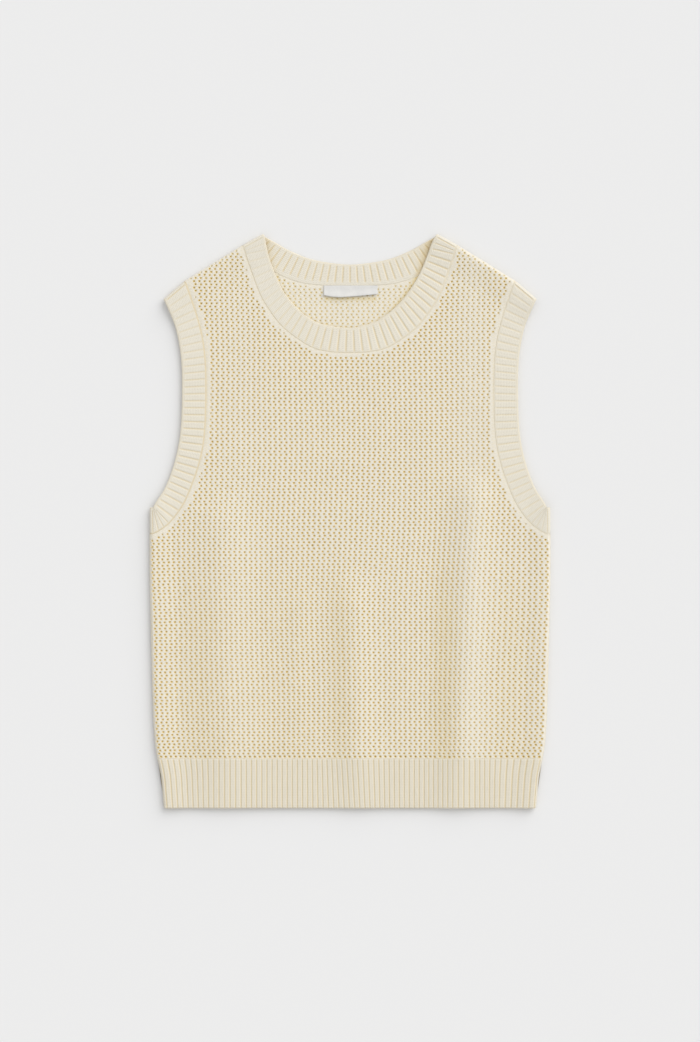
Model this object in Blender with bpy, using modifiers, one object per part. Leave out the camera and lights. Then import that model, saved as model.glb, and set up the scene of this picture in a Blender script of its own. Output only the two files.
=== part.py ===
"""A sleeveless crew-neck top in open-mesh knit with ribbed bands, laid flat with its front over its back.

+X runs to the wearer's left, +Y towards the neck and +Z up from the surface that the back lies on. The
origin is under the middle of the top. Lengths are in millimetres up to the point where a mesh is made.

Each panel is one wall of cloth. At the sides and shoulders the front curves down and the back curves up,
and they meet halfway in a seam. The neckband and the armbands are closed rings of ribbing, folded where
the top folds.
"""

import bisect
import math

import bmesh
import bpy
from mathutils import Vector

MM = 0.001

# Driving dimensions.
LENGTH = 615.0  # from the highest shoulder point to the hem's edge
CHEST = 429.0  # across, under the arms
HEM = 398.0  # across the hem's edge
HEM_BAND = 52.8
NECK = 186.0  # across, between the two highest shoulder points
SHOULDERS = 400.0  # across, between the armbands' tips
UNDERARM = 322.0  # the armband's lowest point, up from the hem's edge
FRONT_NECK_DROP = 100.5  # from the highest shoulder point to the front neckband's edge
BACK_NECK_DROP = 32.8
NECKBAND = 26.8  # width of the neckband at the centre front
BACK_NECKBAND = 22.7  # the same at the centre back

# The cloth.
WALL = 2.2  # thickness of every piece, without its ribs
GAP = 0.3  # between pieces that meet
FRONT = 2.7  # height of the front's inner face where it lies on the back
FOLD = 3.65  # outer radius of the folds at the sides and shoulders
PUFF = 2 * FOLD - WALL - FRONT  # how far the front stands off the back beside such a fold
PUFF_REACH = 31.0  # how far from the fold the front comes down again
PUFF_ABOVE_ARM = 60.0  # how far above the underarm the side fold still lifts the front
SHOULDER_SLOPE = math.radians(33)
OUT = (math.sin(SHOULDER_SLOPE), math.cos(SHOULDER_SLOPE))  # out across the shoulder folds

# Ribs: their pitch, and how far crowns and grooves stand from the plain wall.
HEM_RIBS = 71
NECK_RIB = 7.0
ARM_RIB = 7.6
CROWN = 0.5
GROOVE = -0.2
BACK_CROWN = 0.2
BACK_GROOVE = -0.5
RIB_PHASES = (0.0, 0.16, 0.84)  # a groove's bottom, then both edges of a crown

# Lines of the laid top: (out from the centre line, up from the hem's edge). All but the front neckband's
# edge are the same on both sides.
SIDE = [
    (HEM / 2, 0),
    (200.6, 18.6),
    (202.4, 36),
    (206.5, 55),
    (209.2, 74),
    (211.3, 116),
    (213.5, 201),
    (CHEST / 2, 255),
    (CHEST / 2, UNDERARM),
]
SHOULDER = {
    "neck_point": (NECK / 2, LENGTH),
    "neck_seam": (115.5, 602.5),
    "middle": (145, 585),
    "arm_seam": (177, 564.5),
    "tip": (SHOULDERS / 2, 545),
}
FRONT_NECK_EDGE = {
    -1: [
        (0, LENGTH - FRONT_NECK_DROP),
        (24, 517),
        (40, 522.5),
        (55.5, 534.5),
        (70, 551.5),
        (78.8, 569),
        (85.2, 585.5),
        (89.2, 600.5),
    ],
    1: [
        (0, LENGTH - FRONT_NECK_DROP),
        (26, 520.5),
        (39.5, 529),
        (51, 539),
        (60.5, 550),
        (73.5, 570.5),
        (82.3, 591),
        (87.5, 605),
    ],
}
FRONT_NECK_SEAM = [
    (0, LENGTH - FRONT_NECK_DROP - NECKBAND),
    (20, 488.5),
    (38.5, 492.5),
    (56, 502.5),
    (72.8, 516),
    (85.6, 532.2),
    (95.8, 549.3),
    (103, 568),
    (109.2, 585.5),
]
BACK_NECK_EDGE = [
    (0, LENGTH - BACK_NECK_DROP),
    (25, 584.6),
    (45, 589),
    (66, 597.8),
    (78.6, 605),
]
BACK_NECK_SEAM = [
    (0, LENGTH - BACK_NECK_DROP - BACK_NECKBAND),
    (30, 560.2),
    (52.7, 563),
    (78.5, 573),
    (97.5, 586),
]
ARMHOLE_EDGE = [
    (206.5, 329.5),
    (199, 341),
    (190.5, 362),
    (184.6, 384),
    (181.2, 407),
    (179.8, 447),
    (180.6, 478),
    (183.5, 500),
    (188, 518),
]
ARMHOLE_SEAM = [
    (204, 297),
    (192.6, 305.8),
    (178.4, 325),
    (168.3, 348),
    (161, 370),
    (156, 395),
    (154, 430),
    (154.2, 472),
    (156.8, 499),
    (162, 522),
    (169, 544),
]
UNDERARM_SEAM = 293.5  # where the armband's seam meets the side

# Grid of the panels.
ARM_STEPS = 20  # rows along an armhole
HALF_FOLD = (60, 30, 0)  # angles at which a panel's fold has its lines, down to the seam
WHOLE_FOLD = (60, 30, 0, -30, -60)  # the same for a ring, which has no seam there
FRONT_GRID = {"turn": 9, "turn_out": 50.0, "inner": 6, "outer": 11, "body_rows": 10}
BACK_GRID = {"turn": 15, "turn_out": 52.7, "inner": 3, "outer": 5, "body_rows": 6}
BEND_FROM = 250.0  # the height from which a panel's rows bend towards the neckline
CURVE_STEPS = 10  # on a smooth line, from one of its points to the next
TANGENT = 0.004  # share of a line over which its direction is measured

# Rows across a band, from its edge to its seam: (share of the width, how far the face drops there).
BAND_ROWS = [(0.0, 1.0), (0.07, 0.0), (0.95, 0.0), (1.0, 0.5)]
HEM_ROWS = [(0.0, 1.0), (0.04, 0.0), (0.45, 0.0), (0.97, 0.0), (1.0, 0.5)]
PLAIN_ROWS = [(0.0, 0.0), (1.0, 0.0)]
PLAIN_HEM_ROWS = [(0.0, 0.0), (0.45, 0.0), (1.0, 0.0)]

# The front's soft folds. A rise below zero is a trough.
SWELL = 0.6  # how far the body of the front stands off the back between its folds
SWELL_TOP = 470.0  # where the front lies flat again
SWELL_RUN = 170.0  # from there down to the full swell
HEM_SWELL = 0.5  # share of the swell and of the folds at the hem's edge
HEM_SWELL_RUN = 90.0
FOLD_COLUMNS = ("top_out", "top_up", "foot_out", "foot_up", "half_width", "rise")
SOFT_FOLDS = [
    (-138, 350, -132, 0, 26, 3.0),
    (-52, 262, -58, 60, 12, 0.7),
    (3, 262, 8, 0, 19, 3.1),
    (134, 372, 114, 0, 20, 4.3),
    (92, 350, 76, 60, 14, -0.6),
    (-184, 300, -184, 60, 12, -0.4),
]
FADE = 50.0  # how gently a soft fold starts and ends

# The label, sewn in under the back of the neckband.
LABEL = {"width": 58.0, "height": 12.2, "thickness": 0.7, "out": 0.8}

COLOURS = {
    "mesh_knit": (0.80, 0.76, 0.66),
    "rib_knit": (0.84, 0.81, 0.73),
    "label": (0.90, 0.90, 0.89),
}


def smooth(share):
    share = min(max(share, 0.0), 1.0)
    return share * share * (3 - 2 * share)


def mix(a, b, share):
    return tuple(p + (q - p) * share for p, q in zip(a, b))


def curve(points, from_centre=False):
    """A smooth line through the points. From the centre line it starts square to it."""
    before = (-points[1][0], points[1][1]) if from_centre else points[0]
    around = [before, *points, points[-1]]
    line = [points[0]]
    for p0, p1, p2, p3 in zip(around, around[1:], around[2:], around[3:]):
        span = math.dist(p1, p2)
        reach = (max(math.dist(p0, p2), 1e-6), max(math.dist(p1, p3), 1e-6))
        for step in range(1, CURVE_STEPS + 1):
            t = step / CURVE_STEPS
            shape = ((1 + 2 * t) * (1 - t) ** 2, t * (1 - t) ** 2, t * t * (3 - 2 * t), t * t * (t - 1))
            line.append(
                tuple(
                    shape[0] * b
                    + shape[1] * (c - a) * span / reach[0]
                    + shape[2] * c
                    + shape[3] * (d - b) * span / reach[1]
                    for a, b, c, d in zip(p0, p1, p2, p3)
                )
            )
    return line


def lengths(line):
    """How far along the line each of its points is."""
    far = [0.0]
    for a, b in zip(line, line[1:]):
        far.append(far[-1] + math.dist(a, b))
    return far


def at(line, share):
    """The point at a share of the line's length."""
    far = lengths(line)
    want = min(max(share, 0.0), 1.0) * far[-1]
    i = min(max(bisect.bisect_right(far, want) - 1, 0), len(line) - 2)
    return mix(line[i], line[i + 1], (want - far[i]) / (far[i + 1] - far[i]))


def walk(line, steps):
    """Points that cut the line into equal steps."""
    return [at(line, step / steps) for step in range(steps + 1)]


def beside(line, share, distance):
    """The point beside the line at a share of its length, to its left."""
    a, b = at(line, share - TANGENT), at(line, share + TANGENT)
    run = math.dist(a, b)
    p = at(line, share)
    return (p[0] - (b[1] - a[1]) / run * distance, p[1] + (b[0] - a[0]) / run * distance)


def up_at(line, out):
    """How high a line that runs outwards is at a distance out from the centre."""
    i = min(max(bisect.bisect_right([p[0] for p in line], out) - 1, 0), len(line) - 2)
    a, b = line[i], line[i + 1]
    return a[1] + (b[1] - a[1]) * (out - a[0]) / (b[0] - a[0])


def inset(point):
    """Where the fold of the shoulder begins, for a point on the shoulder line."""
    return (point[0] - FOLD * OUT[0], point[1] - FOLD * OUT[1])


SIDE_LINE = curve(SIDE)
SIDE_HEIGHTS = [p[1] for p in SIDE_LINE]
ARM_LINE = walk(
    curve([(CHEST / 2 - FOLD, UNDERARM_SEAM), *ARMHOLE_SEAM, inset(SHOULDER["arm_seam"])]), ARM_STEPS
)


def half_width(up):
    """From the centre line to the side fold's outermost point."""
    i = min(max(bisect.bisect_right(SIDE_HEIGHTS, up) - 1, 0), len(SIDE_LINE) - 2)
    a, b = SIDE_LINE[i], SIDE_LINE[i + 1]
    return a[0] + (b[0] - a[0]) * min(max((up - a[1]) / (b[1] - a[1]), 0.0), 1.0)


def shoulder_distance(out, up):
    """From a point to the shoulder line, measured square to the shoulder fold."""
    along = out * OUT[1] - up * OUT[0]
    marks = [
        (p[0] * OUT[1] - p[1] * OUT[0], p[0] * OUT[0] + p[1] * OUT[1]) for p in SHOULDER.values()
    ]
    i = min(max(bisect.bisect_right([m[0] for m in marks], along) - 1, 0), len(marks) - 2)
    (a, high), (b, next_high) = marks[i], marks[i + 1]
    share = min(max((along - a) / (b - a), 0.0), 1.0)
    return high + (next_high - high) * share - out * OUT[0] - up * OUT[1]


def soft_folds(out, up):
    """How far the soft folds lift the body of the front."""
    height = SWELL * smooth((SWELL_TOP - up) / SWELL_RUN)
    for row in SOFT_FOLDS:
        fold = dict(zip(FOLD_COLUMNS, row))
        share = (up - fold["foot_up"]) / (fold["top_up"] - fold["foot_up"])
        middle = fold["foot_out"] + (fold["top_out"] - fold["foot_out"]) * share
        along = smooth((fold["top_up"] - up) / FADE)
        if fold["foot_up"] > HEM_BAND:
            along *= smooth((up - fold["foot_up"]) / FADE)
        height += fold["rise"] * along * math.exp(-(((out - middle) / fold["half_width"]) ** 2))
    calm = HEM_SWELL + (1 - HEM_SWELL) * smooth(up / HEM_SWELL_RUN)
    return max(height * calm, 0.0)


def front_height(out, up):
    """Height of the front's inner face above the surface that the top lies on."""
    side = 1 - smooth((half_width(up) - abs(out) - FOLD) / PUFF_REACH)
    side *= 1 - smooth((up - UNDERARM) / PUFF_ABOVE_ARM)
    shoulder = 1 - smooth((shoulder_distance(abs(out), up) - FOLD) / PUFF_REACH)
    return FRONT + max(PUFF * side, PUFF * shoulder, soft_folds(out, up))


def front_pair(point, rise=0.0):
    """The outer and the inner point of the front at a place in plan."""
    low = front_height(*point)
    return (*point, low + WALL + rise), (*point, low)


def back_pair(point, rise=0.0):
    """The same on the back, whose outer face lies on the surface."""
    return (*point, 0.0), (*point, WALL + rise)


def fold_pair(point, out, angle, seam=0.0, drop=0.0):
    """A pair of points on a fold that starts at a place in plan, at an angle above its middle."""
    turn = math.radians(angle)
    pair = []
    for radius in (FOLD - drop, FOLD - WALL):
        reach = radius * math.cos(turn)
        height = FOLD + radius * math.sin(turn) + seam
        pair.append((point[0] + out[0] * reach, point[1] + out[1] * reach, height))
    return tuple(pair)


def mirrored(point, hand):
    return (point[0] * hand, *point[1:])


def place(point):
    """From the top's own measures to metres about the origin."""
    return Vector((point[0], point[1] - LENGTH / 2, point[2])) * MM


def finish(mesh, name, slot, top):
    """Makes an object of a closed mesh."""
    bmesh.ops.remove_doubles(mesh, verts=mesh.verts, dist=1e-6)
    bmesh.ops.recalc_face_normals(mesh, faces=mesh.faces)
    data = bpy.data.meshes.new(name)
    mesh.to_mesh(data)
    mesh.free()
    data.shade_smooth()
    data.set_sharp_from_angle(angle=math.radians(35))
    made = bpy.data.objects.new(name, data)
    data.materials.append(material(name, slot))
    top.objects.link(made)
    return made


def material(name, slot):
    made = bpy.data.materials.new(name)
    made.use_nodes = True
    shader = made.node_tree.nodes["Principled BSDF"]
    shader.inputs["Base Color"].default_value = (*COLOURS[slot], 1)
    shader.inputs["Roughness"].default_value = 0.9
    shader.inputs["Metallic"].default_value = 0.0
    return made


def wall(quads):
    """A wall of cloth. A quad's corners are pairs: a point on the outer face, and one on the inner."""
    mesh = bmesh.new()
    corners = {}
    inner = {}
    for quad in quads:
        ring = []
        for pair in quad:
            key = tuple(round(value, 3) for point in pair for value in point)
            if key not in corners:
                corners[key] = mesh.verts.new(place(pair[0]))
                inner[corners[key]] = mesh.verts.new(place(pair[1]))
            ring.append(corners[key])
        mesh.faces.new(ring)
    outer_faces = list(mesh.faces)
    rims = [edge.verts[:] for edge in mesh.edges if edge.is_boundary]
    for face in outer_faces:
        mesh.faces.new([inner[vert] for vert in reversed(face.verts)])
    for a, b in rims:
        mesh.faces.new([a, b, inner[b], inner[a]])
    return mesh


def panel_plan(neck_curve, grid):
    """Half of a panel in plan: full rows up to the neck, rows of the shoulder, and the neck's line.

    The full rows start level at the hem. On their way up they bend until the last one follows the foot of
    the neckline out to `turn_out`, and runs straight from there to a point of the armhole.
    """
    turn, turn_out = grid["turn"], grid["turn_out"]
    corner = (turn_out, up_at(neck_curve, turn_out))
    end = ARM_LINE[turn]
    low = HEM_BAND + GAP / 2
    heights = [
        low + (ARM_LINE[0][1] - low) * row / grid["body_rows"] for row in range(grid["body_rows"])
    ]
    ends = [(half_width(up) - FOLD, up) for up in heights] + ARM_LINE[: turn + 1]
    split = turn_out / end[0]
    shares = [split * i / grid["inner"] for i in range(grid["inner"])]
    shares += [split + (1 - split) * i / grid["outer"] for i in range(grid["outer"] + 1)]

    def last_row(out):
        if out <= turn_out:
            return up_at(neck_curve, out)
        return mix(corner, end, (out - turn_out) / (end[0] - turn_out))[1]

    full = []
    for out, up in ends:
        bend = smooth((up - BEND_FROM) / (end[1] - BEND_FROM))
        full.append(
            [(share * out, up + bend * (last_row(share * end[0]) - end[1])) for share in shares]
        )
    rest = [corner] + [p for p in neck_curve if p[0] > turn_out]
    neck_side = walk(rest, ARM_STEPS - turn)
    shoulder = [
        [mix(start, stop, i / grid["outer"]) for i in range(grid["outer"] + 1)]
        for start, stop in zip(neck_side, ARM_LINE[turn:])
    ]
    neck_line = full[-1][: grid["inner"]] + neck_side
    return full, shoulder, neck_line


def quads_of(rows):
    return [
        (a[i], a[i + 1], b[i + 1], b[i])
        for a, b in zip(rows, rows[1:])
        for i in range(len(a) - 1)
    ]


def panel(plan, grid, pair_at, up_or_down):
    """The wall of a panel, with half a fold at each side and shoulder."""
    full, shoulder, _ = plan
    quads = []
    for hand in (1, -1):

        def strip(point, out):
            place_in_plan, way = mirrored(point, hand), mirrored(out, hand)
            return [pair_at(place_in_plan)] + [
                fold_pair(
                    place_in_plan,
                    way,
                    angle * up_or_down,
                    seam=up_or_down * GAP / 2 if angle == 0 else 0.0,
                )
                for angle in HALF_FOLD
            ]

        for rows in (full, shoulder):
            quads += quads_of([[pair_at(mirrored(p, hand)) for p in row] for row in rows])
        side = [row[-1] for row in full[: grid["body_rows"] + 1]]
        quads += quads_of([strip(point, (1, 0)) for point in side])
        quads += quads_of([strip(point, OUT) for point in shoulder[-1]])
    return wall(quads)


def loft(stations, closed):
    """A band of cloth along stations. Each has its points across the outer face, the inner, or both."""
    mesh = bmesh.new()
    made = [
        [[mesh.verts.new(place(p)) for p in face] if face else None for face in station]
        for station in stations
    ]
    whole = [i for i, faces in enumerate(made) if all(faces)]
    if closed:
        made.append(made[0])
        whole.append(len(made) - 1)
    for side in (0, 1):
        rows = [faces[side] for faces in made if faces[side]]
        for a, b in zip(rows, rows[1:]):
            for i in range(len(a) - 1):
                mesh.faces.new([a[i], a[i + 1], b[i + 1], b[i]])
    for start, stop in zip(whole, whole[1:]):
        for end in (0, -1):
            outer, inner = (
                [faces[side][end] for faces in made[start : stop + 1] if faces[side]]
                for side in (0, 1)
            )
            mesh.faces.new(outer + inner[::-1])
    if not closed:
        for outer, inner in (made[0], made[-1]):
            mesh.faces.new(outer + inner[::-1])
    return mesh


def ribbed_front(across, ribs, rows, inner_rows):
    """Stations along the front half of a band, whose outer face has the ribs."""
    stations = []
    for rib in range(ribs):
        for phase in RIB_PHASES:
            share = (rib + phase) / ribs
            rise = CROWN if phase else GROOVE
            outer = [front_pair(across(share, v), rise - drop)[0] for v, drop in rows]
            inner = [front_pair(across(share, v))[1] for v, _ in inner_rows]
            stations.append((outer, None if phase else inner))
    last = [front_pair(across(1.0, v), GROOVE - drop)[0] for v, drop in rows]
    stations.append((last, [front_pair(across(1.0, v))[1] for v, _ in inner_rows]))
    return stations


def ribbed_back(across, ribs, rows):
    """Stations along the back half of the neckband: ribs on the face that shows, a flat underside."""
    stations = []
    for rib in range(ribs + 1):
        for phase in RIB_PHASES if rib < ribs else (0.0,):
            share = (rib + phase) / ribs
            rise = BACK_CROWN if phase else BACK_GROOVE
            outer = [back_pair(across(share, v))[0] for v, _ in rows]
            inner = [back_pair(across(share, v), rise)[1] for v, _ in PLAIN_ROWS]
            stations.append((None if phase else outer, inner))
    return stations


def plain_back(across, steps, rows, inner_rows):
    """Stations along a back half that the front covers: plain, with a flat underside."""
    return [
        (
            [back_pair(across(step / steps, v))[0] for v, _ in rows],
            [back_pair(across(step / steps, v))[1] for v, _ in inner_rows],
        )
        for step in range(steps + 1)
    ]


def fold_over(across, share, out):
    """Stations round the fold at one end of a ring's front half, from its top down."""
    stations = []
    for angle in WHOLE_FOLD:
        ease = (1 + math.sin(math.radians(angle))) / 2
        outer = [
            fold_pair(across(share, v), out, angle, drop=drop * ease)[0] for v, drop in BAND_ROWS
        ]
        inner = [fold_pair(across(share, v), out, angle)[1] for v, _ in PLAIN_ROWS]
        stations.append((outer, inner))
    return stations


def band_between(edge, seam, clear):
    """A band's own measures: the place at a share along it and a share across it, edge to seam."""

    def across(along, v):
        return mix(at(edge, along), beside(seam, along, clear), v)

    return across


def make_armband(name, hand, top):
    """A ring of ribbing: up the front from the underarm, over the shoulder and down the back."""
    edge = curve([(CHEST / 2 - FOLD, UNDERARM), *ARMHOLE_EDGE, inset(SHOULDER["tip"])])
    half = band_between(edge, ARM_LINE, -GAP)

    def across(along, v):
        return mirrored(half(along, v), hand)

    ribs = round(lengths(edge)[-1] / ARM_RIB)
    stations = ribbed_front(across, ribs, BAND_ROWS, PLAIN_ROWS)
    stations += fold_over(across, 1.0, mirrored(OUT, hand))
    stations += plain_back(across, ARM_STEPS, BAND_ROWS, PLAIN_ROWS)[::-1]
    stations += fold_over(across, 0.0, (hand, 0))[::-1]
    finish(loft(stations, closed=True), name, "rib_knit", top)


def make_neckband(front_seam, back_seam, top):
    """A ring of ribbing: along the front from left to right, and back along the back."""
    neck_point = inset(SHOULDER["neck_point"])
    front_edges = {
        hand: curve([*edge, neck_point], from_centre=True) for hand, edge in FRONT_NECK_EDGE.items()
    }
    back_edge = curve([*BACK_NECK_EDGE, neck_point], from_centre=True)

    def both_sides(edges, seam):
        halves = {hand: band_between(edge, seam, GAP) for hand, edge in edges.items()}

        def across(along, v):
            hand = 1 if along >= 0.5 else -1
            return mirrored(halves[hand](abs(along - 0.5) * 2, v), hand)

        return across

    front = both_sides(front_edges, front_seam)
    back = both_sides({-1: back_edge, 1: back_edge}, back_seam)
    front_ribs = round(sum(lengths(edge)[-1] for edge in front_edges.values()) / NECK_RIB)
    back_ribs = round(2 * lengths(back_edge)[-1] / NECK_RIB)
    stations = ribbed_front(front, front_ribs, BAND_ROWS, PLAIN_ROWS)
    stations += fold_over(front, 1.0, OUT)
    stations += ribbed_back(back, back_ribs, BAND_ROWS)[::-1]
    stations += fold_over(front, 0.0, mirrored(OUT, -1))[::-1]
    finish(loft(stations, closed=True), "neckband", "rib_knit", top)


def make_hem_bands(top):
    """The foot of the body: a ribbed strip in front, and a plain one that lies under it."""

    def across(along, v):
        up = v * (HEM_BAND - GAP / 2)
        return ((2 * along - 1) * (half_width(up) - FOLD), up)

    def folded(middle, up_or_down):
        ends = []
        for share, way in ((0.0, (-1, 0)), (1.0, (1, 0))):
            stations = []
            for angle in HALF_FOLD:
                tilt = angle * up_or_down
                shift = up_or_down * GAP / 2 if angle == 0 else 0.0
                edge_drop = 1.0 if up_or_down > 0 else 0.0
                outer = [
                    fold_pair(across(share, v), way, tilt, seam=shift, drop=drop * edge_drop)[0]
                    for v, drop in HEM_ROWS
                ]
                inner = [
                    fold_pair(across(share, v), way, tilt, seam=shift)[1] for v, _ in PLAIN_HEM_ROWS
                ]
                stations.append((outer, inner))
            ends.append(stations)
        return ends[0][::-1] + middle + ends[1]

    front = ribbed_front(across, HEM_RIBS, HEM_ROWS, PLAIN_HEM_ROWS)
    back = plain_back(across, 2, HEM_ROWS, PLAIN_HEM_ROWS)
    finish(loft(folded(front, 1), closed=False), "hem_band_front", "rib_knit", top)
    finish(loft(folded(back, -1), closed=False), "hem_band_back", "rib_knit", top)


def make_label(top):
    """A bare woven label that lies on the back panel, its upper edge at the neckband's seam."""
    under = WALL + GAP
    middle = (
        LABEL["out"],
        LENGTH - BACK_NECK_DROP - BACK_NECKBAND - GAP - LABEL["height"] / 2,
        under + LABEL["thickness"] / 2,
    )
    bpy.ops.mesh.primitive_cube_add(size=1, location=place(middle))
    label = bpy.context.object
    label.name = label.data.name = "neck_label"
    label.scale = Vector((LABEL["width"], LABEL["height"], LABEL["thickness"])) * MM
    bpy.ops.object.transform_apply(location=False, rotation=False, scale=True)
    bevel = label.modifiers.new("soft edges", "BEVEL")
    bevel.width = 0.2 * MM
    bevel.segments = 1
    label.data.materials.append(material("neck_label", "label"))
    for collection in list(label.users_collection):
        collection.objects.unlink(label)
    top.objects.link(label)


def build():
    for old in list(bpy.data.objects):
        bpy.data.objects.remove(old)
    top = bpy.data.collections.new("crochet_top")
    bpy.context.scene.collection.children.link(top)

    front_neck = curve([*FRONT_NECK_SEAM, inset(SHOULDER["neck_seam"])], from_centre=True)
    back_neck = curve([*BACK_NECK_SEAM, inset(SHOULDER["neck_seam"])], from_centre=True)
    front = panel_plan(front_neck, FRONT_GRID)
    back = panel_plan(back_neck, BACK_GRID)
    finish(panel(front, FRONT_GRID, front_pair, 1), "front_panel", "mesh_knit", top)
    finish(panel(back, BACK_GRID, back_pair, -1), "back_panel", "mesh_knit", top)
    make_hem_bands(top)
    make_neckband(front[2], back[2], top)
    make_armband("armband_left", 1, top)
    make_armband("armband_right", -1, top)
    make_label(top)


build()
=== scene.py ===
"""The look of the crew-neck mesh-knit top: every stitch hole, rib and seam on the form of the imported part.

The top lies on its back with +X to the wearer's left and +Y towards the neck. Its measures are the part's
own, in millimetres: (out from the centre line, up from the hem's edge). Cloth is laid out flat first and
then draped: on to the front, over the folds at the sides and shoulders, or on to the back.
"""

import math

import bpy
import numpy as np
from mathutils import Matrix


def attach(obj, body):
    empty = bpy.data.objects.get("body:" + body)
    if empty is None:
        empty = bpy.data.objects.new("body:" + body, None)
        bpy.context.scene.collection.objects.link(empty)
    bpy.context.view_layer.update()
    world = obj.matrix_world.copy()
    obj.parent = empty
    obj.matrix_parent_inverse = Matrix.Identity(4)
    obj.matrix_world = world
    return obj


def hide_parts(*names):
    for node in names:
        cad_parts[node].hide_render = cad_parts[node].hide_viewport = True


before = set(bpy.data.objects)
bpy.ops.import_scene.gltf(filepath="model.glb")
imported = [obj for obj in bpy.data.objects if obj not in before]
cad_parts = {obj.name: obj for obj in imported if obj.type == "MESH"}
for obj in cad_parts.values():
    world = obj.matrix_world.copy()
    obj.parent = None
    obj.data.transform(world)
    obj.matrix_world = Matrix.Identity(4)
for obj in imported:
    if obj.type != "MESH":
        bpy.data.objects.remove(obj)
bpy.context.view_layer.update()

MM = 0.001

# The part's measures.
LENGTH = 615.0
CHEST = 429.0
HEM = 398.0
HEM_BAND = 52.8
NECK = 186.0
SHOULDERS = 400.0
UNDERARM = 322.0
UNDERARM_SEAM = 293.5
FRONT_NECK_DROP = 100.5
BACK_NECK_DROP = 32.8
NECKBAND = 26.8
BACK_NECKBAND = 22.7
WALL = 2.2
FRONT = 2.7
FOLD = 3.65
PUFF = 2 * FOLD - WALL - FRONT
PUFF_REACH = 31.0
PUFF_ABOVE_ARM = 60.0
SHOULDER_SLOPE = math.radians(33)
OUT = np.array((math.sin(SHOULDER_SLOPE), math.cos(SHOULDER_SLOPE)))  # square to the shoulder
NECK_RIB = 7.0
FULL_WIDTH = 255.0  # from here up the body is as wide as at the chest
SIDE = [
    (HEM / 2, 0), (200.6, 18.6), (202.4, 36), (206.5, 55), (209.2, 74), (211.3, 116), (213.5, 201),
    (CHEST / 2, FULL_WIDTH), (CHEST / 2, UNDERARM),
]
SHOULDER = {
    "neck_point": (NECK / 2, LENGTH),
    "neck_seam": (115.5, 602.5),
    "middle": (145, 585),
    "arm_seam": (177, 564.5),
    "tip": (SHOULDERS / 2, 545),
}
# On the wearer's right (-1) and left (1).
FRONT_NECK_EDGE = {
    -1: [
        (0, LENGTH - FRONT_NECK_DROP),
        (24, 517), (40, 522.5), (55.5, 534.5), (70, 551.5), (78.8, 569), (85.2, 585.5), (89.2, 600.5),
    ],
    1: [
        (0, LENGTH - FRONT_NECK_DROP),
        (26, 520.5), (39.5, 529), (51, 539), (60.5, 550), (73.5, 570.5), (82.3, 591), (87.5, 605),
    ],
}
FRONT_NECK_SEAM = [
    (0, LENGTH - FRONT_NECK_DROP - NECKBAND),
    (20, 488.5), (38.5, 492.5), (56, 502.5), (72.8, 516), (85.6, 532.2), (95.8, 549.3), (103, 568),
    (109.2, 585.5),
]
BACK_NECK_EDGE = [(0, LENGTH - BACK_NECK_DROP), (25, 584.6), (45, 589), (66, 597.8), (78.6, 605)]
BACK_NECK_SEAM = [
    (0, LENGTH - BACK_NECK_DROP - BACK_NECKBAND),
    (30, 560.2), (52.7, 563), (78.5, 573), (97.5, 586),
]
ARMHOLE_EDGE = [
    (206.5, 329.5), (199, 341), (190.5, 362), (184.6, 384), (181.2, 407), (179.8, 447), (180.6, 478),
    (183.5, 500), (188, 518),
]
ARMHOLE_SEAM = [
    (204, 297), (192.6, 305.8), (178.4, 325), (168.3, 348), (161, 370), (156, 395), (154, 430),
    (154.2, 472), (156.8, 499), (162, 522), (169, 544),
]
SWELL = 0.6
SWELL_TOP = 470.0
SWELL_RUN = 170.0
HEM_SWELL = 0.5
HEM_SWELL_RUN = 90.0
# A soft fold: (top out, top up, foot out, foot up, half width, rise).
SOFT_FOLDS = [
    (-138, 350, -132, 0, 26, 3.0),
    (-52, 262, -58, 60, 12, 0.7),
    (3, 262, 8, 0, 19, 3.1),
    (134, 372, 114, 0, 20, 4.3),
    (92, 350, 76, 60, 14, -0.6),
    (-184, 300, -184, 60, 12, -0.4),
]
FADE = 50.0
BLEND = 0.12  # how softly the swells run into each other
# The unevenness of cloth smoothed by hand: (height, length across, length up).
RIPPLES = [(0.12, 17.0, 83.0), (0.10, 9.5, 29.0)]
CURVE_STEPS = 10

# The knit.
PITCH = 5.6  # from one hole to the next in a row
ROW = 3.36  # from row to row
ZIGZAG = 0.15  # how far every other row stands off to one side, as a share of the pitch
FIRST_ROW = 2.7  # from the hem's seam to the middle of the first row of holes
FLAT_FOLD = FOLD * math.pi / 2  # cloth in a quarter of a fold
PRESS = 0.4  # how far the cloth's relief is pressed in where it rests
RIB_COURSE = 1.75  # height of a stitch in the ribbing


# Lines and measures.


def smooth(share):
    share = np.clip(share, 0.0, 1.0)
    return share * share * (3 - 2 * share)


def curve(points, from_centre=False):
    """A smooth line through the points. From the centre line it starts square to it."""
    points = np.array(points, float)
    before = points[1] * (-1, 1) if from_centre else points[0]
    around = [before, *points, points[-1]]
    line = [points[0]]
    t = (np.arange(1, CURVE_STEPS + 1) / CURVE_STEPS)[:, None]
    for p0, p1, p2, p3 in zip(around, around[1:], around[2:], around[3:]):
        span = np.linalg.norm(p2 - p1)
        reach = [max(np.linalg.norm(p), 1e-6) for p in (p2 - p0, p3 - p1)]
        line.extend(
            (1 + 2 * t) * (1 - t) ** 2 * p1
            + t * (1 - t) ** 2 * (p2 - p0) * span / reach[0]
            + t * t * (3 - 2 * t) * p2
            + t * t * (t - 1) * (p3 - p1) * span / reach[1]
        )
    return np.array(line)


def lengths(line):
    return np.concatenate(([0.0], np.cumsum(np.linalg.norm(np.diff(line, axis=0), axis=1))))


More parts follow.
